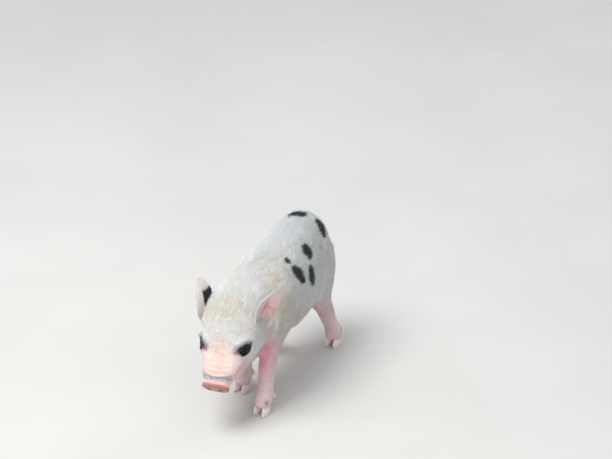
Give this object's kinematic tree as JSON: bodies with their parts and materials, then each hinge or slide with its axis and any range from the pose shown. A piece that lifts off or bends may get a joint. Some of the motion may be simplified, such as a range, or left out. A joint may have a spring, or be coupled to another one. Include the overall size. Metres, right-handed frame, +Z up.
{
  "type": "farm animal model",
  "caption": "Life-size still model of a spotted miniature piglet, standing mid-step with its head lowered towards the ground and its ears pricked.",
  "frame": {"origin": "middle of the bounding box on the floor, under the belly", "axes": "+Z up, +Y from snout to tail (the piglet faces -Y), +X to the animal's left"},
  "size_m": [0.0998, 0.2768, 0.1918],
  "materials": {
    "skin": "matte",
    "snout_pad": "satin",
    "horn": "satin",
    "eye": "gloss"
  },
  "bodies": {
    "root": {"head": "skin", "snout": "snout_pad", "eye_left": "eye", "eye_right": "eye", "ear_left": "skin", "ear_right": "skin", "neck": "skin", "torso": "skin", "tail": "skin", "foreleg_left": "skin", "foreleg_right": "skin", "hindleg_left": "skin", "hindleg_right": "skin", "claw_foreleg_left_inner": "horn", "claw_foreleg_left_outer": "horn", "claw_foreleg_right_inner": "horn", "claw_foreleg_right_outer": "horn", "claw_hindleg_left_inner": "horn", "claw_hindleg_left_outer": "horn", "claw_hindleg_right_inner": "horn", "claw_hindleg_right_outer": "horn", "dew_claw_foreleg_left_inner": "horn", "dew_claw_foreleg_left_outer": "horn", "dew_claw_foreleg_right_inner": "horn", "dew_claw_foreleg_right_outer": "horn", "dew_claw_hindleg_left_inner": "horn", "dew_claw_hindleg_left_outer": "horn", "dew_claw_hindleg_right_inner": "horn", "dew_claw_hindleg_right_outer": "horn"}
  },
  "joints": []
}
